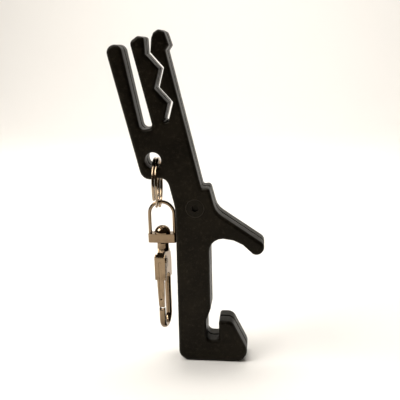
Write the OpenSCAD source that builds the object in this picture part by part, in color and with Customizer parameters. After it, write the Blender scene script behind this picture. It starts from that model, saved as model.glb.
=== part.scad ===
// Keychain bottle opener: a two-layer pocket tool with a leaning three-tined head, a side lever and
// a hooked foot, and a swivel trigger clasp that hangs from a split ring in its key hole.
// Millimetres. X is to the right, Y runs from the front face to the rear face and Z is up.
// The origin is the centre of the flat base that the tool stands on, halfway through its thickness.

/* [Tool] */
// Thickness of the tool from front face to rear face
tool_t = 8.5; // [7.5:0.1:10]
// Thickness of the steel core plate between the two shells
core_t = 0.8; // [0.5:0.1:1.2]
// How far the core plate's edge stands back inside the shells' edge
core_setback = 0.35; // [0.2:0.05:0.4]
// Depth of the rounding along the outer edge of each shell, measured from its face
edge_depth = 1.0; // [0.6:0.1:1.4]
// Width of the upright body at its foot
body_w = 9.75; // [9.4:0.05:10]
// Lean of the head away from upright, in degrees
head_lean = 13; // [11:0.5:15]
// Width of the head across its tines
head_w = 15.5; // [15.2:0.1:15.8]

/* [Slots in the head] */
// Width of the zigzag slit, measured straight across the head
slit_w = 1.46; // [1.1:0.02:1.5]
// Height of one leg of the zigzag, along the head
slit_step = 4.6; // [4.4:0.1:4.7]
// Sideways swing of the zigzag to either side of its middle
slit_swing = 1.25; // [1:0.05:1.4]

/* [Key hole and screw] */
// Radius of the key hole
hole_r = 2.25; // [2.1:0.05:2.4]
// Radius of the rounding where the key hole meets a face
hole_round = 0.95; // [0.5:0.05:1]
// Radius of the binding screw's head and of the nut's head
screw_head_r = 2.5; // [2.2:0.1:2.8]
// Radius of the binding screw's shank
screw_r = 1.4; // [1.2:0.1:1.5]
// Radius of the barrel nut's barrel
barrel_r = 2.1; // [2:0.1:2.2]
// Running gap around the screw, the nut and the moulded pegs
fit_gap = 0.05; // [0.03:0.01:0.08]

/* [Split ring] */
// Outside diameter of the split ring
ring_d = 14.5; // [14:0.1:15]
// Diameter of the split ring's wire
ring_wire = 0.82; // [0.7:0.02:0.84]

/* [Swivel clasp] */
// Outside width of the swivel eye
eye_w = 8.1; // [7.6:0.1:8.2]
// Diameter of the swivel eye's wire
eye_wire = 1.0; // [0.9:0.05:1.1]
// Height of the bar at the foot of the swivel eye
bar_h = 2.6; // [2.2:0.1:2.8]
// Radius of the swivel rivet's shank
rivet_r = 1.0; // [0.9:0.05:1.1]
// Outside radius of the clasp's bow
bow_r = 4.0; // [3.9:0.05:4.05]
// Diameter of the clasp's bow
bow_wire = 1.85; // [1.7:0.05:1.9]
// Turn of the clasp about its swivel, in degrees
clasp_turn = 8; // [0:1:15]

/* [Hidden] */
$fn = 48;
plastic = [0.12, 0.11, 0.10];
nickel = [0.78, 0.75, 0.72];
half_t = tool_t / 2;

// ---- Outline of the tool in the X-Z plane: [x, z, corner radius, inset of the rounded edge] ----
body_left = -10.15;
body_right = body_left + body_w;
hook_top = 12.95;
body_inset = 0.9;
head_inset = 1.1;
slim_inset = 0.7;

// The head has its own axes, u across it and v along it, from the elbow at its right-hand edge
elbow = [-2.28, 52.25];
function head(u, v) = elbow + [u * cos(head_lean) - v * sin(head_lean),
                               u * sin(head_lean) + v * cos(head_lean)];
function head_corner(u, v, r, inset = head_inset) = concat(head(u, v), [r, inset]);

foot = [
    [body_left, 0, 2.9, body_inset],
    [12.05, 0, 3.3, body_inset],
    [5.8, hook_top, 2.5, body_inset],
    [1.86, hook_top, 0.8, body_inset],
    [1.86, 6.65, 0.8, body_inset],
    [-1.76, 6.65, 1.5, body_inset],
    [-1.76, 12.9, 2.5, body_inset],
    [body_right, 16.6, 2.5, body_inset]
];
lever = [
    [body_right, 38.1, 3.8, body_inset],
    [8.27, 38.1, 9.7, body_inset],
    [12.64, 32.41, 2.0, body_inset],
    [16.06, 36.02, 2.0, body_inset],
    [1.6, 46.0, 5, body_inset],
    [-0.15, 52.9, 1.1, body_inset]
];
head_right = 0.1;
head_left = head_right - head_w;
prong_tip = [
    head_corner(head_right, 0.35, 0.6),
    head_corner(head_right, 38.2, 0.5, slim_inset),
    head_corner(1.35, 39.3, 0.5, slim_inset),
    head_corner(1.0, 42.9, 0.8, slim_inset),
    head_corner(-0.35, 43.95, 1.0, slim_inset),
    head_corner(-1.9, 43.4, 0.6, slim_inset),
    head_corner(-2.7, 42.3, 0.6, slim_inset)
];
slit_top = 38.8;
slit_mid = -3.45;
slit_legs = 4;
function zig(i) = slit_mid + (i % 2 == 0 ? -1 : 1) * slit_swing;
slit_right = [for (i = [0:slit_legs])
    head_corner(zig(i) + slit_w / 2, slit_top - i * slit_step, 0.35, slim_inset)];
slit_left = [for (i = [slit_legs:-1:0])
    head_corner(zig(i) - slit_w / 2, slit_top - i * slit_step, 0.35)];
middle_tine = [
    head_corner(-4.6, 42.9, 0.7),
    head_corner(-6.1, 43.7, 1.2),
    head_corner(-8.6, 42.7, 1.3)
];
long_slot = [
    head_corner(-8.6, 19.6, 1.2),
    head_corner(-12.15, 19.8, 1.4)
];
outer_tine = [
    head_corner(-11.15, 43.1, 1.9),
    head_corner(head_left, 43.2, 2.1)
];
key_lobe = [
    head_corner(head_left, 5.9, 2.9),
    head_corner(-8.55, 5.9, 2.6),
    head_corner(-8.55, -3.6, 12)
];
corners = concat(foot, lever, prong_tip, slit_right, slit_left, middle_tine, long_slot, outer_tine,
                 key_lobe);
count = len(corners);

function unit(p) = p / norm(p);
function xz(c) = [c[0], c[1]];
function cross2(a, b) = a[0] * b[1] - a[1] * b[0];
// Turn at corner i in degrees: positive where the outline is convex
function turn(i) =
    let (a = unit(xz(corners[i]) - xz(corners[(i + count - 1) % count])),
         b = unit(xz(corners[(i + 1) % count]) - xz(corners[i])))
    atan2(cross2(a, b), a * b);
turns = [for (i = [0:count - 1]) turn(i)];
// Corner i moved in by its own share of the inset: share 0 is the true outline
function moved(i, share, fixed) =
    let (a = unit(xz(corners[i]) - xz(corners[(i + count - 1) % count])),
         b = unit(xz(corners[(i + 1) % count]) - xz(corners[i])),
         na = [-a[1], a[0]],
         nb = [-b[1], b[0]],
         d = fixed + share * corners[i][3])
    xz(corners[i]) + (na + nb) / (1 + na * nb) * d;
// Radius of corner i after the move: a convex corner tightens and a concave one opens
function moved_r(i, share, fixed) =
    let (d = fixed + share * corners[i][3])
    turns[i] > 0 ? max(corners[i][2] - d, 0.06) : corners[i][2] + d;
function corner_arc(p, q, r, bend, steps) =
    let (a = unit(q - p[0]),
         b = unit(p[1] - q),
         start = q - a * r * tan(abs(bend) / 2),
         side = bend > 0 ? 1 : -1,
         centre = start + side * r * [-a[1], a[0]])
    [for (k = [0:steps])
        let (w = bend * k / steps, s = start - centre)
        centre + [s[0] * cos(w) - s[1] * sin(w), s[0] * sin(w) + s[1] * cos(w)]];
function outline(share, fixed = 0) =
    let (m = [for (i = [0:count - 1]) moved(i, share, fixed)])
    [for (i = [0:count - 1])
        let (p = m[(i + count - 1) % count], n = m[(i + 1) % count],
             a = unit(m[i] - p), b = unit(n - m[i]),
             bend = atan2(cross2(a, b), a * b),
             steps = max(2, ceil(abs(turns[i]) / 18)))
        each corner_arc([p, n], m[i], moved_r(i, share, fixed), bend, steps)];

// ---- Shells, core plate and their fastener ----
key_hole = head(-11, 11);
screw_at = [-4.17, 47.1];
peg_r = 1.0;
peg_reach = 1.6;
pegs = [[-5.3, 7.0], [6.2, 4.6], head(-4.1, 13.2)];
shell_t = half_t - core_t / 2;
round_steps = 4;
screw_head_t = 1.4;
socket_af = 2.0;
socket_depth = 0.9;
barrel_end = -1.4;

// Puts a drawing of the X-Z plane between two depths
module slab(y0, y1) {
    translate([0, y1, 0]) rotate([90, 0, 0]) linear_extrude(y1 - y0) children();
}
module bore(at, r, y0, y1) {
    translate([at[0], y1, at[1]]) rotate([90, 0, 0]) cylinder(h = y1 - y0, r = r);
}

// Half of the tool, from the core plate out to one face (side -1 is the front), with a rounded edge
module shell_blank(side) {
    rings = concat([[0, core_t / 2]],
        [for (k = [0:round_steps])
            let (w = 90 * k / round_steps)
            [1 - cos(w), half_t - edge_depth * (1 - sin(w))]]);
    layers = [for (ring = rings) outline(ring[0])];
    m = len(layers[0]);
    n = len(rings);
    points = [for (j = [0:n - 1]) each [for (p = layers[j]) [p[0], side * rings[j][1], p[1]]]];
    sides = [for (j = [0:n - 2], i = [0:m - 1])
        let (a = j * m + i, b = j * m + (i + 1) % m)
        each [facing([a, b + m, b], side), facing([a, a + m, b + m], side)]];
    // A resize to nothing keeps every size, and lets the flat faces be any shape
    resize([0, 0, 0])
        polyhedron(points, concat(sides, [facing([for (i = [0:m - 1]) i], side),
                                          facing([for (i = [m - 1:-1:0]) (n - 1) * m + i], side)]));
}

// Order of a face's corners so that it looks outward on either side of the tool
function facing(face, side) = side < 0 ? face : [for (i = [len(face) - 1:-1:0]) face[i]];

// Key hole through one shell, with a rounded mouth at the shell's face
module key_bore(side) {
    translate([key_hole[0], side * half_t, key_hole[1]]) rotate([side * 90, 0, 0])
        rotate_extrude() polygon(concat([[0, -1], [hole_r + hole_round, -1]],
            [for (k = [0:6])
                let (w = 15 * k)
                [hole_r + hole_round * (1 - sin(w)), hole_round * (1 - cos(w))]],
            [[hole_r, half_t], [0, half_t]]));
}

module front_shell() {
    color(plastic) difference() {
        shell_blank(-1);
        key_bore(-1);
        bore(screw_at, screw_head_r + fit_gap, -half_t - 1, -half_t + screw_head_t);
        bore(screw_at, screw_r + fit_gap, 1 - half_t, 0);
        bore(screw_at, barrel_r + fit_gap, barrel_end - fit_gap, 0);
        for (p = pegs) bore(p, peg_r + fit_gap, -core_t / 2 - peg_reach - 0.2, 0);
    }
}

module rear_shell() {
    color(plastic) {
        difference() {
            shell_blank(1);
            key_bore(1);
            bore(screw_at, screw_head_r + fit_gap, half_t - screw_head_t, half_t + 1);
            bore(screw_at, barrel_r + fit_gap, 0, half_t - 1);
        }
        for (p = pegs) bore(p, peg_r, -core_t / 2 - peg_reach, core_t / 2 + 0.5);
    }
}

module core_plate() {
    color([0.1, 0.1, 0.11]) difference() {
        slab(-core_t / 2, core_t / 2) polygon(outline(0, core_setback));
        bore(key_hole, hole_r + core_setback, -half_t, half_t);
        bore(screw_at, barrel_r + fit_gap, -half_t, half_t);
        for (p = pegs) bore(p, peg_r + fit_gap, -half_t, half_t);
    }
}

module binding_screw() {
    color(plastic) difference() {
        union() {
            bore(screw_at, screw_head_r, -half_t, -half_t + screw_head_t);
            bore(screw_at, screw_r, -half_t + 0.5, 2.2);
        }
        translate([screw_at[0], -half_t + socket_depth, screw_at[1]]) rotate([90, 30, 0])
            linear_extrude(socket_depth + 1) circle(r = socket_af / 2 / cos(30), $fn = 6);
    }
}

module barrel_nut() {
    color(plastic) difference() {
        union() {
            bore(screw_at, screw_head_r, half_t - screw_head_t, half_t);
            bore(screw_at, barrel_r, barrel_end, half_t - 0.5);
        }
        bore(screw_at, screw_r, barrel_end - 1, 2.4);
    }
}

// ---- Split ring: two touching coils of one wire that crosses over between them ----
ring_at = [-15.2, 0, 53.45];
ring_turn = 4;
coil_r = (ring_d - ring_wire) / 2;
coil_x = ring_wire / 2 + 0.01;
coil_step = 7.5;
cross_half = 30;
wire_sides = 8;
function ease(t) = let (c = min(max(t, 0), 1)) c * c * (3 - 2 * c);
// Angle a runs from one end of the wire to the other, with the crossing in the middle at 360 degrees
function coil_shift(a) = coil_x * (2 * ease((a - 360 + cross_half) / (2 * cross_half)) - 1);
ring_angles = [for (a = [cross_half:coil_step:720 - cross_half]) a];

module split_ring() {
    n = len(ring_angles);
    points = [for (a = ring_angles) each [for (k = [0:wire_sides - 1])
        let (w = 360 * (k + 0.5) / wire_sides,
             rad = coil_r + ring_wire / 2 * cos(w),
             side = coil_shift(a) + ring_wire / 2 * sin(w))
        [side, rad * sin(a), rad * cos(a)]]];
    walls = [for (j = [0:n - 2], k = [0:wire_sides - 1])
        let (p = j * wire_sides + k, q = j * wire_sides + (k + 1) % wire_sides)
        each [[p, q, q + wire_sides], [p, q + wire_sides, p + wire_sides]]];
    ends = [[for (k = [wire_sides - 1:-1:0]) k],
            [for (k = [0:wire_sides - 1]) (n - 1) * wire_sides + k]];
    color(nickel) translate(ring_at) rotate([0, 0, ring_turn]) rotate([150, 0, 0])
        polyhedron(points, concat(walls, ends));
}

// ---- Swivel eye and clasp, drawn about the swivel's own axis ----
swivel_x = -14.3;
eye_top = 48.4;
bar_bottom = 36.0;
bar_top = bar_bottom + bar_h;
bar_depth = 3.0;
eye_bend = (eye_w - eye_wire) / 2;
eye_spring_z = eye_top - eye_w / 2;

module swivel_eye() {
    color(nickel) translate([swivel_x, 0, 0]) difference() {
        union() {
            translate([0, 0, eye_spring_z]) rotate([90, 0, 0])
                rotate_extrude(angle = 180) translate([eye_bend, 0]) circle(d = eye_wire, $fn = 24);
            for (side = [-1, 1])
                translate([side * eye_bend, 0, bar_top - 0.4])
                    cylinder(h = eye_spring_z - bar_top + 0.4, d = eye_wire, $fn = 24);
            translate([0, 0, bar_bottom]) linear_extrude(bar_h) {
                square([eye_w - 1.2, bar_depth], center = true);
                square([eye_w, bar_depth - 1.2], center = true);
                for (sx = [-1, 1], sy = [-1, 1])
                    translate([sx * (eye_w / 2 - 0.6), sy * (bar_depth / 2 - 0.6)])
                        circle(r = 0.6, $fn = 24);
            }
        }
        translate([0, 0, bar_bottom - 1]) cylinder(h = bar_h + 2, r = rivet_r + fit_gap);
    }
}

// The clasp's parts are drawn with h along +Y, towards the spine, and turned about the swivel
module about_swivel() {
    translate([swivel_x, 0, 0]) rotate([0, 0, -clasp_turn]) children();
}
// Puts a drawing of the clasp's own h-z plane between two sideways positions
module plate(x0, x1) {
    translate([x0, 0, 0]) rotate([90, 0, 90]) linear_extrude(x1 - x0) children();
}

dome_r = 2.3;
dome_h = 1.75;
dome_ball = (dome_r * dome_r + dome_h * dome_h) / (2 * dome_h);
dome_foot = 0.5;
neck_top = bar_bottom - 0.12;
neck_r = 1.7;
neck_bottom = 33.2;

module swivel_rivet() {
    color(nickel) about_swivel() {
        translate([0, 0, bar_top + fit_gap]) {
            cylinder(h = dome_foot, r = dome_r);
            translate([0, 0, dome_foot]) intersection() {
                translate([0, 0, dome_h - dome_ball]) sphere(r = dome_ball);
                cylinder(h = dome_ball, r = dome_r);
            }
        }
        translate([0, 0, neck_bottom + 0.6]) cylinder(h = bar_top - neck_bottom, r = rivet_r);
    }
}

bow_z = 12.9;
bow_bend = bow_r - bow_wire / 2;
inner_r = bow_r - bow_wire;
block_half = 1.1;
block_bottom = 24.2;
nose_top = 16.4;
pin_at = [-2.3, 31.0];
pin_r = 0.55;
gate_half = 1.6;
gate_wall = 0.4;
gate_front = -3.85;
gate_foot = 16.7;

module clasp_body() {
    color(nickel) about_swivel() difference() {
        union() {
            // Round neck under the swivel
            translate([0, 0, neck_bottom]) cylinder(h = neck_top - neck_bottom, r = neck_r);
            // Flat block that carries the gate's pin
            plate(-block_half, block_half) difference() {
                polygon([[-1.3, 34.4], [1.3, 34.4], [2.6, 33.2], [3.6, 31.6], [bow_r, 29.6],
                         [bow_r, block_bottom], [inner_r, block_bottom], [0.6, 25.6], [-1.3, 26.2],
                         [-2.2, 28.2], [-3.15, 30.2], [-3.15, 31.8], [-2.4, 33.2]]);
                // Round top of the clasp's opening
                translate([0, block_bottom]) circle(r = inner_r);
            }
            // Spine, bow and nose
            translate([0, bow_bend, bow_z]) cylinder(h = block_bottom + 2.4 - bow_z, d = bow_wire);
            translate([0, 0, bow_z]) rotate([90, 0, 90]) rotate([0, 0, 180])
                rotate_extrude(angle = 180) translate([bow_bend, 0]) circle(d = bow_wire, $fn = 32);
            translate([0, -bow_bend, bow_z]) cylinder(h = nose_top - bow_z, d = bow_wire);
        }
        // Seats for the rivet, the pin and the spring, and the notch that takes the gate's foot
        translate([0, 0, neck_bottom + 0.6]) cylinder(h = 5, r = rivet_r);
        plate(-5, 5) translate(pin_at) circle(r = pin_r);
        translate([0, -4, spring_z]) rotate([-90, 0, 0])
            cylinder(h = 4 + spring_seat, r = spring_r + spring_wire / 2 + 0.12);
        plate(-0.5, 0.5) polygon([[-bow_r - 1, nose_top + 1], [-bow_r - 1, nose_top - 0.1],
                                  [-bow_bend, nose_top - 0.8], [-inner_r + 1, nose_top - 0.1],
                                  [-inner_r + 1, nose_top + 1]]);
    }
}

// Folded gate: a front web with a side flange along each edge, wide at the thumb and slim at the foot
module clasp_gate() {
    web = gate_front + gate_wall;
    color(nickel) about_swivel() difference() {
        union() {
            for (side = [-1, 1])
                plate(side > 0 ? gate_half - gate_wall : -gate_half, side > 0 ? gate_half : gate_wall - gate_half)
                    polygon([[gate_front, 25.4], [gate_front, 32.2], [-2.9, 32.9], [-1.6, 32.4],
                             [-1.3, 31.0], [-1.9, 27.4], [web + 0.3, 25.0]]);
            translate([0, 0, 25.4]) linear_extrude(6.8)
                translate([-gate_half, gate_front]) square([2 * gate_half, gate_wall]);
            // Slim leg of the gate, tapering to the foot
            intersection() {
                plate(-1.05, 1.05) polygon([[gate_front, 25.9], [gate_front, gate_foot + 1],
                    [gate_front + 0.35, gate_foot], [-2.5, gate_foot], [-2.5, 23.6], [web, 25.9]]);
                translate([0, 0, gate_foot]) rotate([90, 0, 0]) linear_extrude(6)
                    polygon([[-0.75, 0], [0.75, 0], [1.05, 9.4], [-1.05, 9.4]]);
            }
        }
        plate(-5, 5) translate(pin_at) circle(r = pin_r + fit_gap);
        // Long shallow flute down the front of the leg
        translate([0, gate_front, 0]) plate(-0.35, 0.35)
            polygon([[-0.1, 19.0], [0.2, 19.4], [0.2, 30.6], [-0.1, 31.0]]);
    }
}

module gate_pin() {
    color(nickel) about_swivel() {
        plate(-gate_half - 0.02, gate_half + 0.02) translate(pin_at) circle(r = pin_r);
        for (side = [-1, 1])
            plate(side > 0 ? gate_half + 0.02 : -gate_half - 0.22, side > 0 ? gate_half + 0.22 : -gate_half - 0.02)
                translate(pin_at) circle(r = pin_r + 0.25);
    }
}

// Coil spring that holds the gate shut, seated in the block and pressing on the back of the web
spring_z = 28.6;
spring_r = 0.5;
spring_wire = 0.2;
spring_seat = -1.2;
spring_turns = 5;
spring_sides = 6;

module gate_spring() {
    y0 = gate_front + gate_wall + spring_wire / 2 + 0.02;
    y1 = spring_seat - spring_wire / 2 - 0.02;
    n = spring_turns * 16;
    points = [for (i = [0:n]) each [for (k = [0:spring_sides - 1])
        let (a = 360 * i / 16, w = 360 * k / spring_sides,
             rad = spring_r + spring_wire / 2 * cos(w))
        [rad * cos(a), y0 + (y1 - y0) * i / n + spring_wire / 2 * sin(w), rad * sin(a)]]];
    walls = [for (j = [0:n - 1], k = [0:spring_sides - 1])
        let (p = j * spring_sides + k, q = j * spring_sides + (k + 1) % spring_sides)
        each [[p, q + spring_sides, q], [p, p + spring_sides, q + spring_sides]]];
    ends = [[for (k = [0:spring_sides - 1]) k],
            [for (k = [spring_sides - 1:-1:0]) n * spring_sides + k]];
    color([0.6, 0.6, 0.62]) about_swivel() translate([0, 0, spring_z])
        polyhedron(points, concat(walls, ends));
}

front_shell();
rear_shell();
core_plate();
binding_screw();
barrel_nut();
split_ring();
swivel_eye();
swivel_rivet();
clasp_body();
clasp_gate();
gate_pin();
gate_spring();
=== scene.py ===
"""Keychain bottle opener: the looks of its shells, core, screw, ring, swivel and snap clasp."""
import logging
import math
from dataclasses import dataclass, field
from enum import Enum
from typing import Any, Sequence, Union

import bmesh
import bpy
from mathutils import Matrix, Vector


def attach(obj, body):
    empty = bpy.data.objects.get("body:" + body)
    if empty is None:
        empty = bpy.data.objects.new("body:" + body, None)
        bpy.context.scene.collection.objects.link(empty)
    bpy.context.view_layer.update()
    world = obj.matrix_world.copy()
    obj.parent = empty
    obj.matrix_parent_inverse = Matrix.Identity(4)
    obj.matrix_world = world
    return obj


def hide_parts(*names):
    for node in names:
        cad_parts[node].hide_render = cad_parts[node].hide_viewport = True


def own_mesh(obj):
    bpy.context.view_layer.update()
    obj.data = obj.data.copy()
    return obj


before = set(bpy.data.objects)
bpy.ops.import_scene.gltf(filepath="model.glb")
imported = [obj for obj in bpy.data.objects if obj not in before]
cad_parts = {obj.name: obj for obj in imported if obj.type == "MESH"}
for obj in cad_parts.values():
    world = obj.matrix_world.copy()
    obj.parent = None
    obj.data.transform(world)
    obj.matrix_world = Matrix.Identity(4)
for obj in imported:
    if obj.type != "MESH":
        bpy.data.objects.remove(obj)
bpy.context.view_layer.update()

MM = 0.001
MERGE_DISTANCE = 0.0004  # corners closer than this are one corner, in millimetres
SLIVER = 0.0002  # edges shorter than this are dropped, in millimetres
SAME_PLANE = 0.4  # faces that turn less than this lie in one plane, in degrees
FLAT_WEIGHT = 80  # how strongly a large face holds the shading of its corners
SEED = 7
WIRE_SIDES = 24
log = logging.getLogger("opener")

Number = Union[int, float]
Colour = tuple[float, float, float]
Point = tuple[float, float, float]


# --------------------------------------------------------------------------------------------
# Shader building
# --------------------------------------------------------------------------------------------
class Signal:
    """One number socket of a node tree. Python operators on it add their Math nodes."""

    def __init__(self, builder: "TreeBuilder", socket: bpy.types.NodeSocket) -> None:
        """Wraps a socket.

        Args:
            builder: The builder that owns the tree.
            socket: The output socket to wrap.
        """
        self.builder = builder
        self.socket = socket

    def _math(self, operation: str, *values: "Value", clamp: bool = False) -> "Signal":
        """Adds one Math node.

        Args:
            operation: The Math node's operation.
            values: Its inputs, as numbers or signals.
            clamp: Whether the result is held between 0 and 1.

        Returns:
            The node's result.
        """
        node = self.builder.node("ShaderNodeMath", {"operation": operation, "use_clamp": clamp},
                                 dict(enumerate(values)))
        return Signal(self.builder, node.outputs[0])

    def __add__(self, other: "Value") -> "Signal":
        """Sum."""
        return self._math("ADD", self, other)

    def __radd__(self, other: "Value") -> "Signal":
        """Sum, reflected."""
        return self._math("ADD", other, self)

    def __sub__(self, other: "Value") -> "Signal":
        """Difference."""
        return self._math("SUBTRACT", self, other)

    def __rsub__(self, other: "Value") -> "Signal":
        """Difference, reflected."""
        return self._math("SUBTRACT", other, self)

    def __mul__(self, other: "Value") -> "Signal":
        """Product."""
        return self._math("MULTIPLY", self, other)

    def __rmul__(self, other: "Value") -> "Signal":
        """Product, reflected."""
        return self._math("MULTIPLY", other, self)

    def __truediv__(self, other: "Value") -> "Signal":
        """Quotient."""
        return self._math("DIVIDE", self, other)

    def __rtruediv__(self, other: "Value") -> "Signal":
        """Quotient, reflected."""
        return self._math("DIVIDE", other, self)

    def clamped(self) -> "Signal":
        """The signal held between 0 and 1."""
        return self._math("ADD", self, 0.0, clamp=True)

    def step(self, low: float, high: float) -> "Signal":
        """A soft step from 0 at low to 1 at high.

        Args:
            low: Where the step begins.
            high: Where it ends.

        Returns:
            The stepped signal.
        """
        node = self.builder.node("ShaderNodeMapRange",
                                 {"interpolation_type": "SMOOTHSTEP", "clamp": True},
                                 {"Value": self, "From Min": low, "From Max": high})
        return Signal(self.builder, node.outputs["Result"])


Value = Union[Number, Signal]


class TreeBuilder:
    """A node tree of any kind, with one method that makes all of its nodes."""

    def __init__(self, tree: bpy.types.NodeTree) -> None:
        """Empties a tree and starts on it.

        Args:
            tree: The tree.
        """
        self.tree = tree
        self.tree.nodes.clear()

    def node(self, kind: str, settings: dict[str, Any],
             inputs: dict[Any, Any]) -> bpy.types.Node:
        """Adds one node.

        Args:
            kind: The node's type.
            settings: Its own settings, set first. A ramp's stops are pairs of place and colour.
            inputs: Socket name or index to a number, colour, socket or Signal.

        Returns:
            The new node.
        """
        made = self.tree.nodes.new(kind)
        for key, value in settings.items():
            if key == "stops":
                for stop, (place, colour) in zip(made.color_ramp.elements, value):
                    stop.position, stop.color = place, (*colour, 1.0)
            else:
                setattr(made, key, value)
        for key, value in inputs.items():
            self.supply(made.inputs[key], value)
        return made

    def supply(self, socket: bpy.types.NodeSocket, value: Any) -> None:
        """Links a socket, or sets the value on it.

        Args:
            socket: The input socket.
            value: A number, colour, socket or Signal.
        """
        if isinstance(value, Signal):
            self.tree.links.new(value.socket, socket)
        elif isinstance(value, bpy.types.NodeSocket):
            self.tree.links.new(value, socket)
        elif isinstance(value, tuple) and socket.type == "RGBA":
            socket.default_value = (*value, 1.0)
        else:
            socket.default_value = value


class NodeBuilder(TreeBuilder):
    """A material's node tree, round one Principled shader."""

    def __init__(self, name: str) -> None:
        """Starts a material.

        Args:
            name: The material's name.
        """
        self.material = bpy.data.materials.new(name)
        self.material.use_nodes = True
        super().__init__(self.material.node_tree)
        self.output = self.node("ShaderNodeOutputMaterial", {}, {})
        self.shader = self.node("ShaderNodeBsdfPrincipled", {}, {})
        self.supply(self.output.inputs["Surface"], self.shader.outputs[0])
        self.object_coords = self.node("ShaderNodeTexCoord", {}, {}).outputs["Object"]

    def noise(self, grain: float, detail: float, rough: float,
              stretch: Point = (1.0, 1.0, 1.0)) -> Signal:
        """Noise of one grain size.

        Args:
            grain: Width of a grain in millimetres.
            detail: Octaves of finer noise.
            rough: Strength of the finer octaves.
            stretch: How many times longer a grain is along each axis.

        Returns:
            Noise around 0.5.
        """
        scale = tuple(1 / (grain * MM * s) for s in stretch)
        placed = self.node("ShaderNodeMapping", {}, {"Vector": self.object_coords, "Scale": scale})
        made = self.node("ShaderNodeTexNoise", {"noise_dimensions": "3D"},
                         {"Vector": placed.outputs[0], "Scale": 1.0, "Detail": detail,
                          "Roughness": rough})
        return Signal(self, made.outputs[0])

    def cells(self, grain: float) -> Signal:
        """Distance to the nearest point of a scatter, for pits and specks.

        Args:
            grain: Spacing of the points in millimetres.

        Returns:
            Distance as a share of the spacing.
        """
        made = self.node("ShaderNodeTexVoronoi", {"feature": "F1"},
                         {"Vector": self.object_coords, "Scale": 1 / (grain * MM)})
        return Signal(self, made.outputs["Distance"])

    def edge(self, reach: float) -> Signal:
        """How strongly a point lies on an outward edge, from 0 on a flat to 1 on the edge.

        Args:
            reach: Width of the edge band in millimetres.

        Returns:
            The edge mask.
        """
        bevel = self.node("ShaderNodeBevel", {"samples": 4}, {"Radius": reach * MM})
        true = self.node("ShaderNodeNewGeometry", {}, {})
        dot = self.node("ShaderNodeVectorMath", {"operation": "DOT_PRODUCT"},
                        {0: bevel.outputs[0], 1: true.outputs["Normal"]})
        return (1 - Signal(self, dot.outputs["Value"])).step(0.01, 0.25)

    def mix(self, mask: Value, low: Any, high: Any) -> bpy.types.NodeSocket:
        """Blends two colours.

        Args:
            mask: Share of the second colour.
            low: The first colour or a socket.
            high: The second colour or a socket.

        Returns:
            The blended colour.
        """
        # The colour inputs and the colour result of a Mix node are found by their place in it
        made = self.node("ShaderNodeMix", {"data_type": "RGBA", "clamp_factor": True},
                         {0: mask, 6: low, 7: high})
        return made.outputs[2]

    def bump(self, height: Signal, depth: float, strength: float) -> bpy.types.NodeSocket:
        """Turns a height signal into a bumped normal.

        Args:
            height: Height, where 1 is the full depth.
            depth: Depth in millimetres.
            strength: Share of the bump that is used.

        Returns:
            The normal.
        """
        made = self.node("ShaderNodeBump", {},
                         {"Height": height, "Distance": depth * MM, "Strength": strength})
        return made.outputs[0]

    def feed(self, **sockets: Any) -> None:
        """Sets or links the shader's sockets.

        Args:
            sockets: Socket names with underscores for spaces, to numbers, colours or links.
        """
        for key, value in sockets.items():
            self.supply(self.shader.inputs[key.replace("_", " ")], value)


# --------------------------------------------------------------------------------------------
# Finishes
# --------------------------------------------------------------------------------------------
@dataclass(frozen=True)
class MouldedNylon:
    """Black glass-filled nylon with a fine spark-eroded grain, bright on its edges: partly real
    wear and partly a painted highlight along the chamfers.
    """

    name: str = "moulded_nylon"
    base: Colour = (0.0032, 0.0024, 0.0015)
    dusty: Colour = (0.0210, 0.0165, 0.0105)
    rubbed_and_highlight: Colour = (0.085, 0.074, 0.058)
    roughness: float = 0.37
    glint: Colour = (1.0, 0.90, 0.74)
    specular: float = 0.105
    cloud_size: float = 9.0
    mottle_size: float = 0.95
    speck_spacing: float = 0.55
    edge_band: float = 0.35
    edge_patch_size: float = 2.2
    grain: float = 0.22
    grain_depth: float = 0.012

    def build(self) -> bpy.types.Material:
        """Builds the finish.

        Returns:
            Its material.
        """
        b = NodeBuilder(self.name)
        cloud = b.noise(self.cloud_size, 3.0, 0.55)
        mottle = b.noise(self.mottle_size, 5.0, 0.72)
        fine = b.noise(self.grain, 2.0, 0.6)
        specks = b.cells(self.speck_spacing).step(0.16, 0.08)
        # The edge band is partly edge wear and partly a painted highlight along the chamfer lines
        edge_patches = (b.edge(self.edge_band) * (0.35 + b.noise(self.edge_patch_size, 3.0, 0.6))).clamped()
        dust = (cloud.step(0.42, 0.66) * 0.25 + mottle.step(0.50, 0.72) * 0.8
                + fine.step(0.5, 0.75) * 0.2).clamped()
        colour = b.mix(dust, self.base, self.dusty)
        colour = b.mix((specks * 0.35).clamped(), colour, self.rubbed_and_highlight)
        # Painted highlight: the edges are mixed towards the pale colour, partly as wear and partly
        # as a painted highlight
        colour = b.mix(edge_patches * 0.45, colour, self.rubbed_and_highlight)
        rough = (self.roughness + (cloud - 0.5) * 0.16 + (mottle - 0.5) * 0.30
                 + (fine - 0.5) * 0.14 - edge_patches * 0.09)
        height = fine * 0.6 + mottle * 0.6 - specks * 0.25
        b.feed(Base_Color=colour, Roughness=rough.clamped(), Specular_IOR_Level=self.specular,
               Specular_Tint=self.glint, Normal=b.bump(height, self.grain_depth, 0.8))
        return b.material


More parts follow.
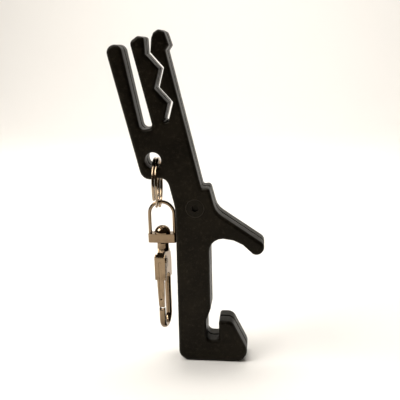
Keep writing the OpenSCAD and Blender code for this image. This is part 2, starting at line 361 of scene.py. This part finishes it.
@dataclass(frozen=True)
class BlackedSteel:
    """Chemically blacked steel sheet, rolled along its length, for the core plate."""

    name: str = "blacked_steel"
    base: Colour = (0.006, 0.006, 0.0065)
    streaked: Colour = (0.016, 0.015, 0.015)
    bare: Colour = (0.05, 0.048, 0.046)
    streak_width: float = 0.35
    rolling: Point = (1.0, 1.0, 12.0)
    blotch_size: float = 4.0
    edge_band: float = 0.15
    depth: float = 0.004

    def build(self) -> bpy.types.Material:
        """Builds the finish.

        Returns:
            Its material.
        """
        b = NodeBuilder(self.name)
        streak = b.noise(self.streak_width, 3.0, 0.6, self.rolling)
        blotch = b.noise(self.blotch_size, 3.0, 0.55)
        edge_patches = (b.edge(self.edge_band) * blotch.step(0.45, 0.7)).clamped()
        rolled = b.mix(streak.step(0.4, 0.7) * 0.35, self.base, self.streaked)
        b.feed(Base_Color=b.mix((edge_patches * 0.7).clamped(), rolled, self.bare), Metallic=0.6,
               Roughness=(0.46 + (streak - 0.5) * 0.2).clamped(),
               Normal=b.bump(streak, self.depth, 0.6))
        return b.material


@dataclass(frozen=True)
class PlatedNickel:
    """Warm nickel plate on a cast or drawn part: soft waves, hairlines and dull hollows."""

    name: str = "plated_nickel"
    base: Colour = (0.245, 0.175, 0.110)
    tarnish: Colour = (0.070, 0.043, 0.023)
    roughness: float = 0.10
    wave: float = 1.3
    wave_depth: float = 0.05
    cloud_size: float = 3.4
    scratch_width: float = 0.09
    hairline: Point = (1.0, 1.0, 9.0)
    pit_spacing: float = 0.5

    def build(self) -> bpy.types.Material:
        """Builds the finish.

        Returns:
            Its material.
        """
        b = NodeBuilder(self.name)
        cloud = b.noise(self.cloud_size, 3.0, 0.55)
        scratch = b.noise(self.scratch_width, 2.0, 0.6, self.hairline)
        cast = b.noise(self.wave, 2.0, 0.4)
        pit = b.cells(self.pit_spacing).step(0.10, 0.05)
        stain = (cloud.step(0.50, 0.78) * 0.55 + pit * 0.25).clamped()
        colour = b.mix(stain, self.base, self.tarnish)
        rough = self.roughness + cloud.step(0.4, 0.8) * 0.09 + (scratch - 0.5) * 0.12 + pit * 0.1
        height = cast * 0.8 + scratch * 0.06 - pit * 0.2
        b.feed(Base_Color=colour, Metallic=1.0, Roughness=rough.clamped(),
               Normal=b.bump(height, self.wave_depth, 0.7))
        return b.material


@dataclass(frozen=True)
class SpringWire:
    """Drawn spring steel, with draw lines and a straw tint from its tempering."""

    name: str = "spring_wire"
    base: Colour = (0.46, 0.43, 0.38)
    tint: Colour = (0.30, 0.22, 0.13)
    line_width: float = 0.05
    tint_size: float = 0.8
    depth: float = 0.002

    def build(self) -> bpy.types.Material:
        """Builds the finish.

        Returns:
            Its material.
        """
        b = NodeBuilder(self.name)
        line = b.noise(self.line_width, 2.0, 0.6)
        straw = b.noise(self.tint_size, 2.0, 0.5).step(0.4, 0.7) * 0.5
        b.feed(Base_Color=b.mix(straw, self.base, self.tint), Metallic=1.0,
               Roughness=(0.3 + (line - 0.5) * 0.2).clamped(),
               Normal=b.bump(line, self.depth, 0.5))
        return b.material


@dataclass(frozen=True)
class PaleSweep:
    """The pale paper that the object stands on."""

    name: str = "pale_sweep"
    base: Colour = (0.86, 0.842, 0.81)

    def build(self) -> bpy.types.Material:
        """Builds the finish.

        Returns:
            Its material.
        """
        b = NodeBuilder(self.name)
        b.feed(Base_Color=self.base, Roughness=0.85, Specular_IOR_Level=0.1)
        return b.material


class Finish(Enum):
    """The finishes that this object's pieces can have."""

    NYLON = MouldedNylon()
    FASTENER = MouldedNylon(name="black_screw", base=(0.0045, 0.004, 0.0032), roughness=0.33,
                            grain=0.14, grain_depth=0.006)
    BLACKED = BlackedSteel()
    RING_NICKEL = PlatedNickel(name="ring_nickel", roughness=0.12, wave=0.9, wave_depth=0.006,
                               base=(0.36, 0.275, 0.19), hairline=(1.0, 1.0, 1.0))
    CAST_NICKEL = PlatedNickel(name="cast_nickel")
    PRESSED_NICKEL = PlatedNickel(name="pressed_nickel", roughness=0.17, wave=1.5,
                                  wave_depth=0.055, base=(0.27, 0.195, 0.122))
    SPRING = SpringWire()
    SWEEP = PaleSweep()


_made: dict[Finish, bpy.types.Material] = {}


def material(finish: Finish) -> bpy.types.Material:
    """The material of a finish, built once.

    Args:
        finish: The finish wanted.

    Returns:
        Its material.
    """
    if finish not in _made:
        _made[finish] = finish.value.build()
    return _made[finish]


# --------------------------------------------------------------------------------------------
# Mesh tools
# --------------------------------------------------------------------------------------------
def add_object(name: str, mesh: bpy.types.Mesh) -> bpy.types.Object:
    """Links a mesh into the scene as a new object at the origin.

    Args:
        name: The object's name.
        mesh: Its mesh.

    Returns:
        The object.
    """
    made = bpy.data.objects.new(name, mesh)
    bpy.context.scene.collection.objects.link(made)
    return made


def baked(piece: bpy.types.Object) -> bpy.types.Object:
    """Turns an object's modifiers into plain mesh.

    Args:
        piece: The object.

    Returns:
        The same object, with no modifiers.
    """
    graph = bpy.context.evaluated_depsgraph_get()
    mesh = bpy.data.meshes.new_from_object(piece.evaluated_get(graph), depsgraph=graph)
    piece.modifiers.clear()
    old, piece.data = piece.data, mesh
    mesh.name = piece.name
    if isinstance(old, bpy.types.Mesh):
        bpy.data.meshes.remove(old)
    return piece


def merged_copy(node: str, name: str) -> bpy.types.Object:
    """Copies a frame node's mesh and joins its loose triangles.

    Args:
        node: The frame node.
        name: The copy's name.

    Returns:
        The copy, as an object of its own.
    """
    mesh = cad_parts[node].data.copy()
    mesh.materials.clear()
    made = add_object(name, mesh)
    bm = bmesh.new()
    bm.from_mesh(mesh)
    bmesh.ops.remove_doubles(bm, verts=bm.verts, dist=MERGE_DISTANCE * MM)
    bmesh.ops.dissolve_degenerate(bm, edges=bm.edges, dist=SLIVER * MM)
    # Triangles that lie in one plane become one face, so that a flat is shaded flat
    bmesh.ops.dissolve_limit(bm, angle_limit=math.radians(SAME_PLANE), verts=bm.verts,
                             edges=bm.edges)
    bm.to_mesh(mesh)
    bm.free()
    return made


def smooth_by_angle(piece: bpy.types.Object, degrees: float) -> None:
    """Shades a piece smoothly across edges flatter than an angle, with its flats kept flat.

    Args:
        piece: The piece.
        degrees: The angle above which an edge stays sharp.
    """
    mesh = piece.data
    mesh.polygons.foreach_set("use_smooth", [True] * len(mesh.polygons))
    mesh.set_sharp_from_angle(angle=math.radians(degrees))
    weight = piece.modifiers.new("weighted", "WEIGHTED_NORMAL")
    weight.keep_sharp = True
    weight.mode = "FACE_AREA"
    weight.weight = FLAT_WEIGHT
    baked(piece)


def cast_copy(node: str, name: str, voxel: float, rounds: int) -> bpy.types.Object:
    """Rebuilds a frame node as a cast part, with its edges melted soft.

    Args:
        node: The frame node.
        name: The piece's name.
        voxel: Voxel size in millimetres.
        rounds: Smoothing rounds.

    Returns:
        The piece.
    """
    made = merged_copy(node, name)
    remesh = made.modifiers.new("melt", "REMESH")
    remesh.mode = "VOXEL"
    remesh.voxel_size = voxel * MM
    remesh.use_smooth_shade = True
    relax = made.modifiers.new("relax", "SMOOTH")
    relax.factor = 0.5
    relax.iterations = rounds
    baked(made)
    made.data.polygons.foreach_set("use_smooth", [True] * len(made.data.polygons))
    return made


def lathed(name: str, profile: Sequence[tuple[float, float]], centre: Point,
           sides: int = 96) -> bpy.types.Object:
    """Turns a profile about an upright axis.

    Args:
        name: The piece's name.
        profile: Radius and height pairs in millimetres, from the axis back to the axis.
        centre: A point on the axis, in millimetres.
        sides: Steps round the axis.

    Returns:
        The piece.
    """
    bm = bmesh.new()
    rows: list[list[bmesh.types.BMVert]] = []
    for radius, height in profile:
        if radius == 0:
            rows.append([bm.verts.new((centre[0] * MM, centre[1] * MM,
                                       (centre[2] + height) * MM))])
            continue
        rows.append([bm.verts.new(((centre[0] + radius * math.cos(a)) * MM,
                                   (centre[1] + radius * math.sin(a)) * MM,
                                   (centre[2] + height) * MM))
                     for a in (2 * math.pi * k / sides for k in range(sides))])
    for low, high in zip(rows, rows[1:]):
        for k in range(sides):
            j = (k + 1) % sides
            if len(low) == 1 and len(high) > 1:
                bm.faces.new((low[0], high[j], high[k]))
            elif len(high) == 1 and len(low) > 1:
                bm.faces.new((low[k], low[j], high[0]))
            elif len(low) > 1:
                bm.faces.new((low[k], low[j], high[j], high[k]))
    bmesh.ops.recalc_face_normals(bm, faces=bm.faces)
    mesh = bpy.data.meshes.new(name)
    bm.to_mesh(mesh)
    bm.free()
    return add_object(name, mesh)


class WireForming(TreeBuilder):
    """A Geometry Nodes tree that draws a round wire along an object's own path."""

    WAVER = (0.992, 1.0)

    def __init__(self, finish: Finish) -> None:
        """Builds the tree.

        Args:
            finish: The wire's finish, set by the tree's last node.
        """
        super().__init__(bpy.data.node_groups.new("wire_forming", "GeometryNodeTree"))
        face = self.tree.interface
        face.new_socket("Path", in_out="INPUT", socket_type="NodeSocketGeometry")
        for name, kind, value in (("Wire Radius", "NodeSocketFloat", 0.0004),
                                  ("Seed", "NodeSocketInt", SEED),
                                  ("Sides", "NodeSocketInt", WIRE_SIDES)):
            face.new_socket(name, in_out="INPUT", socket_type=kind).default_value = value
        face.new_socket("Wire", in_out="OUTPUT", socket_type="NodeSocketGeometry")
        start = self.node("NodeGroupInput", {}, {})
        circle = self.node("GeometryNodeCurvePrimitiveCircle", {},
                           {"Radius": start.outputs["Wire Radius"],
                            "Resolution": start.outputs["Sides"]})
        # The third and fourth inputs are the least and the most of a plain number
        waver = self.node("FunctionNodeRandomValue", {"data_type": "FLOAT"},
                          {"Seed": start.outputs["Seed"], 2: self.WAVER[0], 3: self.WAVER[1]})
        radius = self.node("GeometryNodeSetCurveRadius", {},
                           {"Curve": start.outputs["Path"], "Radius": waver.outputs[1]})
        sweep = self.node("GeometryNodeCurveToMesh", {},
                          {"Curve": radius.outputs[0], "Profile Curve": circle.outputs[0],
                           "Fill Caps": True})
        if "Scale" in sweep.inputs:
            self.supply(sweep.inputs["Scale"], waver.outputs[1])
        smooth = self.node("GeometryNodeSetShadeSmooth", {}, {"Geometry": sweep.outputs[0]})
        real = self.node("GeometryNodeRealizeInstances", {}, {"Geometry": smooth.outputs[0]})
        dress = self.node("GeometryNodeSetMaterial", {},
                          {"Geometry": real.outputs[0], "Material": material(finish)})
        self.node("NodeGroupOutput", {}, {0: dress.outputs[0]})

    def form(self, name: str, path: Sequence[Point], radius: float, closed: bool = False,
             sides: int = WIRE_SIDES) -> bpy.types.Object:
        """Forms one wire.

        Args:
            name: The piece's name.
            path: Its centre line in millimetres.
            radius: The wire's radius in millimetres.
            closed: Whether the path closes on itself.
            sides: Steps round the wire.

        Returns:
            The wire as a plain mesh.
        """
        curve = bpy.data.curves.new(name, "CURVE")
        curve.dimensions = "3D"
        line = curve.splines.new("POLY")
        line.points.add(len(path) - 1)
        for point, place in zip(line.points, path):
            point.co = (*(c * MM for c in place), 1.0)
        line.use_cyclic_u = closed
        holder = bpy.data.objects.new(name + "_path", curve)
        bpy.context.scene.collection.objects.link(holder)
        modifier = holder.modifiers.new("wire", "NODES")
        modifier.node_group = self.tree
        values = {"Wire Radius": radius * MM, "Sides": sides, "Seed": SEED}
        for item in self.tree.interface.items_tree:
            if item.item_type == "SOCKET" and item.in_out == "INPUT" and item.name in values:
                modifier[item.identifier] = values[item.name]
        graph = bpy.context.evaluated_depsgraph_get()
        mesh = bpy.data.meshes.new_from_object(holder.evaluated_get(graph), depsgraph=graph)
        mesh.name = name
        bpy.data.objects.remove(holder)
        bpy.data.curves.remove(curve)
        mesh.polygons.foreach_set("use_smooth", [True] * len(mesh.polygons))
        return add_object(name, mesh)


# --------------------------------------------------------------------------------------------
# Sub-assemblies
# --------------------------------------------------------------------------------------------
@dataclass
class SubAssembly:
    """A group of pieces that one maker would build together."""

    pieces: list[bpy.types.Object] = field(default_factory=list)

    def dress(self, piece: bpy.types.Object, finish: Finish, body: str, slot: str,
              *nodes: str) -> None:
        """Gives a new piece its finish, its body and the frame nodes that it stands for.

        Args:
            piece: The piece.
            finish: Its finish.
            body: The frame body it rides on.
            slot: Not used.
            nodes: The frame nodes it replaces.
        """
        piece.data.materials.clear()
        piece.data.materials.append(material(finish))
        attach(piece, body)
        if nodes:
            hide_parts(*nodes)
        self.pieces.append(piece)

    def keep(self, node: str, finish: Finish) -> None:
        """Keeps a frame node as it is and gives it a finish.

        Args:
            node: The frame node.
            finish: Its finish.
        """
        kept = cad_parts[node]
        for place in kept.material_slots:
            place.material = material(finish)
        if not kept.material_slots:
            kept.data.materials.append(material(finish))
        self.pieces.append(kept)

    def build(self) -> None:
        """Builds the pieces."""
        raise NotImplementedError

    def report(self) -> None:
        """Logs each piece with its size in millimetres."""
        for piece in self.pieces:
            size = [round(v / MM, 2) for v in piece.dimensions]
            log.info("%s: %d faces, %s mm", piece.name, len(piece.data.polygons), size)


@dataclass
class HandTool(SubAssembly):
    """The opener itself: two moulded shells around a blacked core plate, held by a screw."""

    smooth_angle: float = 34.0

    def build(self) -> None:
        """Builds the shells and dresses the core plate and its fastener."""
        for node in ("front_shell", "rear_shell"):
            shell = merged_copy(node, node + "_moulded")
            smooth_by_angle(shell, self.smooth_angle)
            self.dress(shell, Finish.NYLON, "tool", "shell", node)
        self.keep("core_plate", Finish.BLACKED)
        self.keep("binding_screw", Finish.FASTENER)
        self.keep("barrel_nut", Finish.FASTENER)


@dataclass
class SplitRing(SubAssembly):
    """Two coils of one wire that cross over; the ends are cut square here, not ground to a slope.
    """

    centre: Point = (-15.2, 0.0, 53.45)
    outside: float = 14.5
    wire: float = 0.82
    turn: float = 4.0
    start: float = 150.0
    cross_half: float = 30.0
    half_gap: float = 0.01
    steps: int = 264

    def path(self) -> list[Point]:
        """Works out the wire's centre line.

        Returns:
            Its points in millimetres.
        """
        radius = (self.outside - self.wire) / 2
        offset = self.wire / 2 + self.half_gap
        lean = math.radians(self.turn)
        points: list[Point] = []
        for k in range(self.steps + 1):
            angle = self.cross_half + (720 - 2 * self.cross_half) * k / self.steps
            share = min(max((angle - 360 + self.cross_half) / (2 * self.cross_half), 0), 1)
            side = offset * (2 * share * share * (3 - 2 * share) - 1)
            around = math.radians(angle)
            # The coil is drawn about X, then tipped so that its gap is where the frame's is
            x, y, z = side, radius * math.sin(around), radius * math.cos(around)
            tip = math.radians(self.start)
            y, z = (y * math.cos(tip) - z * math.sin(tip), y * math.sin(tip) + z * math.cos(tip))
            x, y = (x * math.cos(lean) - y * math.sin(lean),
                    x * math.sin(lean) + y * math.cos(lean))
            points.append((self.centre[0] + x, self.centre[1] + y, self.centre[2] + z))
        return points

    def build(self) -> None:
        """Forms the ring."""
        forming = WireForming(Finish.RING_NICKEL)
        ring = forming.form("split_ring_coils", self.path(), self.wire / 2)
        self.dress(ring, Finish.RING_NICKEL, "ring", "nickel", "split_ring")


@dataclass
class SwivelEye(SubAssembly):
    """The D-shaped eye: an arch of wire cast in one with a flat bar."""

    voxel: float = 0.075
    rounds: int = 4

    def build(self) -> None:
        """Casts the eye."""
        eye = cast_copy("swivel_eye", "swivel_eye_cast", self.voxel, self.rounds)
        self.dress(eye, Finish.CAST_NICKEL, "eye", "nickel", "swivel_eye")


@dataclass
class SwivelRivet(SubAssembly):
    """The domed rivet that the clasp turns on."""

    axis_x: float = -14.3
    foot: float = 38.65
    dome: float = 2.3
    dome_height: float = 1.75
    rim: float = 0.5
    shank: float = 1.0
    shank_end: float = 33.8
    edge_break: float = 0.08
    smooth_angle: float = 40.0

    def profile(self) -> list[tuple[float, float]]:
        """Works out the rivet's outline.

        Returns:
            Pairs of radius and height in millimetres, from the tail to the top of the dome.
        """
        low = self.shank_end - self.foot
        outline = [(0.0, low), (self.shank, low), (self.shank, 0.0),
                   (self.dome - self.edge_break, 0.0), (self.dome, self.edge_break),
                   (self.dome, self.rim)]
        ball = (self.dome ** 2 + self.dome_height ** 2) / (2 * self.dome_height)
        widest = math.asin(self.dome / ball)
        steps = 18
        for k in range(1, steps):
            a = widest * (1 - k / steps)
            drop = ball * (1 - math.cos(a))
            outline.append((ball * math.sin(a), self.rim + self.dome_height - drop))
        return outline + [(0.0, self.rim + self.dome_height)]

    def build(self) -> None:
        """Turns the rivet."""
        rivet = lathed("swivel_rivet_turned", self.profile(), (self.axis_x, 0.0, self.foot))
        smooth_by_angle(rivet, self.smooth_angle)
        self.dress(rivet, Finish.CAST_NICKEL, "clasp", "nickel", "swivel_rivet")


@dataclass
class SnapClasp(SubAssembly):
    """The cast hook with its folded gate, hinge pin and coil spring."""

    axis_x: float = -14.3
    turn: float = 8.0
    spring_height: float = 28.6
    spring_ends: tuple[float, float] = (-3.33, -1.32)
    spring_radius: float = 0.5
    spring_wire: float = 0.2
    spring_turns: int = 5
    spring_pressed: float = 0.55
    hook_voxel: float = 0.085
    hook_rounds: int = 5
    gate_voxel: float = 0.06
    gate_rounds: int = 2

    def placed(self, side: float, depth: float, height: float) -> Point:
        """A point given across the clasp, towards its spine and up, in frame millimetres.

        Args:
            side: Across the clasp.
            depth: Towards the spine.
            height: Up.

        Returns:
            The point.
        """
        a = -math.radians(self.turn)
        return (self.axis_x + side * math.cos(a) - depth * math.sin(a),
                side * math.sin(a) + depth * math.cos(a), height)

    def spring_path(self) -> list[Point]:
        """Works out the coil spring's centre line.

        Returns:
            Its points in millimetres.
        """
        low, high = self.spring_ends
        steps = 24
        count = self.spring_turns * steps
        points: list[Point] = []
        for k in range(count + 1):
            around = 2 * math.pi * k / steps
            points.append(self.placed(self.spring_radius * math.cos(around),
                                      low + (high - low) * k / count,
                                      self.spring_height + self.spring_radius * math.sin(around)))
        return points

    def build(self) -> None:
        """Casts the hook, casts the gate from its frame node, dresses the pin and forms the
        spring.
        """
        hook = cast_copy("clasp_body", "clasp_hook_cast", self.hook_voxel, self.hook_rounds)
        self.dress(hook, Finish.CAST_NICKEL, "clasp", "nickel", "clasp_body")
        gate = cast_copy("clasp_gate", "clasp_gate_folded", self.gate_voxel, self.gate_rounds)
        self.dress(gate, Finish.PRESSED_NICKEL, "gate", "nickel", "clasp_gate")
        self.keep("gate_pin", Finish.PRESSED_NICKEL)
        spring = WireForming(Finish.SPRING).form("gate_spring_coil", self.spring_path(),
                                                 self.spring_wire / 2, sides=12)
        self.dress(spring, Finish.SPRING, "clasp", "spring", "gate_spring")
        seat = self.placed(0.0, self.spring_ends[1], self.spring_height)
        tuple(c * MM for c in seat)
        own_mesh(spring)


# --------------------------------------------------------------------------------------------
# Studio
# --------------------------------------------------------------------------------------------
@dataclass(frozen=True)
class Lamp:
    """One soft lamp: where it hangs, what it points at, its size, power and colour."""

    name: str
    at: Point
    aim: Point
    size: tuple[float, float]
    power: float
    colour: Colour

    def hang(self) -> None:
        """Adds the lamp to the scene."""
        data = bpy.data.lights.new(self.name, "AREA")
        data.shape = "RECTANGLE"
        data.size, data.size_y = self.size[0] * MM, self.size[1] * MM
        data.energy = self.power
        data.color = self.colour
        made = bpy.data.objects.new(self.name, data)
        bpy.context.scene.collection.objects.link(made)
        made.location = Vector(self.at) * MM
        aim = Vector(self.aim) - Vector(self.at)
        made.rotation_euler = aim.to_track_quat("-Z", "Y").to_euler()


LAMPS = (
    Lamp("key", (-360, -120, 430), (0, 10, 30), (260, 260), 2.3, (1.0, 0.975, 0.935)),
    Lamp("overhead", (-40, 90, 620), (0, 40, 0), (460, 460), 2.2, (1.0, 0.98, 0.945)),
    Lamp("wall_wash", (0, 150, 650), (0, 640, 260), (600, 200), 3.6, (1.0, 0.975, 0.94)),
)


@dataclass
class Studio:
    """A pale sweep, soft lamps and the camera."""

    camera_at: Point = (14.5, -152.1, 89.2)
    forward: Point = (-0.1114, 0.9599, -0.2571)
    right: Point = (0.9938, 0.1089, -0.0241)
    lens: float = 50.4
    sensor: float = 36.0
    floor_front: float = -900.0
    floor_back: float = 430.0
    bend: float = 260.0
    wall_top: float = 1200.0
    left_side: float = -1500.0
    strip: float = 260.0
    strips: int = 7
    dim: Colour = (0.035, 0.025, 0.015)
    bright: Colour = (0.60, 0.575, 0.54)
    seen: Colour = (0.84, 0.81, 0.765)

    def camera(self) -> None:
        """Places the camera and makes it the scene's own."""
        data = bpy.data.cameras.new("camera")
        data.lens = self.lens
        data.sensor_width = self.sensor
        data.clip_start = 0.005
        data.clip_end = 20.0
        made = bpy.data.objects.new("camera", data)
        bpy.context.scene.collection.objects.link(made)
        ahead = Vector(self.forward).normalized()
        across = Vector(self.right).normalized()
        across = (across - ahead * across.dot(ahead)).normalized()
        above = across.cross(ahead)
        turn = Matrix((across, above, -ahead)).transposed()
        made.matrix_world = Matrix.Translation(Vector(self.camera_at) * MM) @ turn.to_4x4()
        bpy.context.scene.camera = made

    def sweep(self) -> None:
        """Lays the pale sweep: a floor that curves up into a wall well behind the object."""
        steps = 24
        wall = self.floor_back + self.bend
        profile = [(self.floor_front, 0.0), (-300.0, 0.0), (-100.0, 0.0), (100.0, 0.0),
                   (300.0, 0.0)]
        for k in range(steps + 1):
            a = math.pi / 2 * k / steps
            profile.append((self.floor_back + self.bend * math.sin(a),
                            self.bend * (1 - math.cos(a))))
        profile += [(wall, self.wall_top / 2), (wall, self.wall_top)]
        bm = bmesh.new()
        across = [self.left_side + self.strip * k for k in range(self.strips + 1)]
        rows = [[bm.verts.new((x * MM, y * MM, z * MM)) for x in across] for y, z in profile]
        for low, high in zip(rows, rows[1:]):
            for k in range(self.strips):
                bm.faces.new((low[k], low[k + 1], high[k + 1], high[k]))
        mesh = bpy.data.meshes.new("sweep")
        bm.to_mesh(mesh)
        bm.free()
        mesh.polygons.foreach_set("use_smooth", [True] * len(mesh.polygons))
        floor = add_object("sweep", mesh)
        floor.data.materials.append(material(Finish.SWEEP))

    def surroundings(self) -> None:
        """Sets a warm surround that lights the object from behind and is dark at its front."""
        world = bpy.data.worlds.new("surround")
        bpy.context.scene.world = world
        world.use_nodes = True
        b = TreeBuilder(world.node_tree)
        where = b.node("ShaderNodeTexCoord", {}, {})
        split = b.node("ShaderNodeSeparateXYZ", {}, {0: where.outputs["Generated"]})
        remap = b.node("ShaderNodeMapRange", {},
                       {"Value": split.outputs["Y"], "From Min": -1.0, "From Max": 1.0})
        ramp = b.node("ShaderNodeValToRGB", {"stops": ((0.50, self.dim), (0.90, self.bright))},
                      {0: remap.outputs[0]})
        light = b.node("ShaderNodeBackground", {}, {"Color": ramp.outputs[0]})
        # What the viewer sees past the sweep is pale, though little light comes from there
        pale = b.node("ShaderNodeBackground", {}, {"Color": self.seen})
        ray = b.node("ShaderNodeLightPath", {}, {})
        choice = b.node("ShaderNodeMixShader", {},
                        {0: ray.outputs["Is Camera Ray"], 1: light.outputs[0],
                         2: pale.outputs[0]})
        b.node("ShaderNodeOutputWorld", {}, {"Surface": choice.outputs[0]})

    def build(self) -> None:
        """Builds the studio."""
        self.camera()
        self.sweep()
        self.surroundings()
        for lamp in LAMPS:
            lamp.hang()
        bpy.context.scene.view_settings.view_transform = "Standard"


def main() -> None:
    """Builds every sub-assembly and reports its pieces."""
    logging.basicConfig(level=logging.INFO, format="%(name)s: %(message)s", force=True)
    Studio().build()
    for group in (HandTool(), SplitRing(), SwivelEye(), SwivelRivet(), SnapClasp()):
        group.build()
        group.report()


if __name__ == "__main__":
    main()
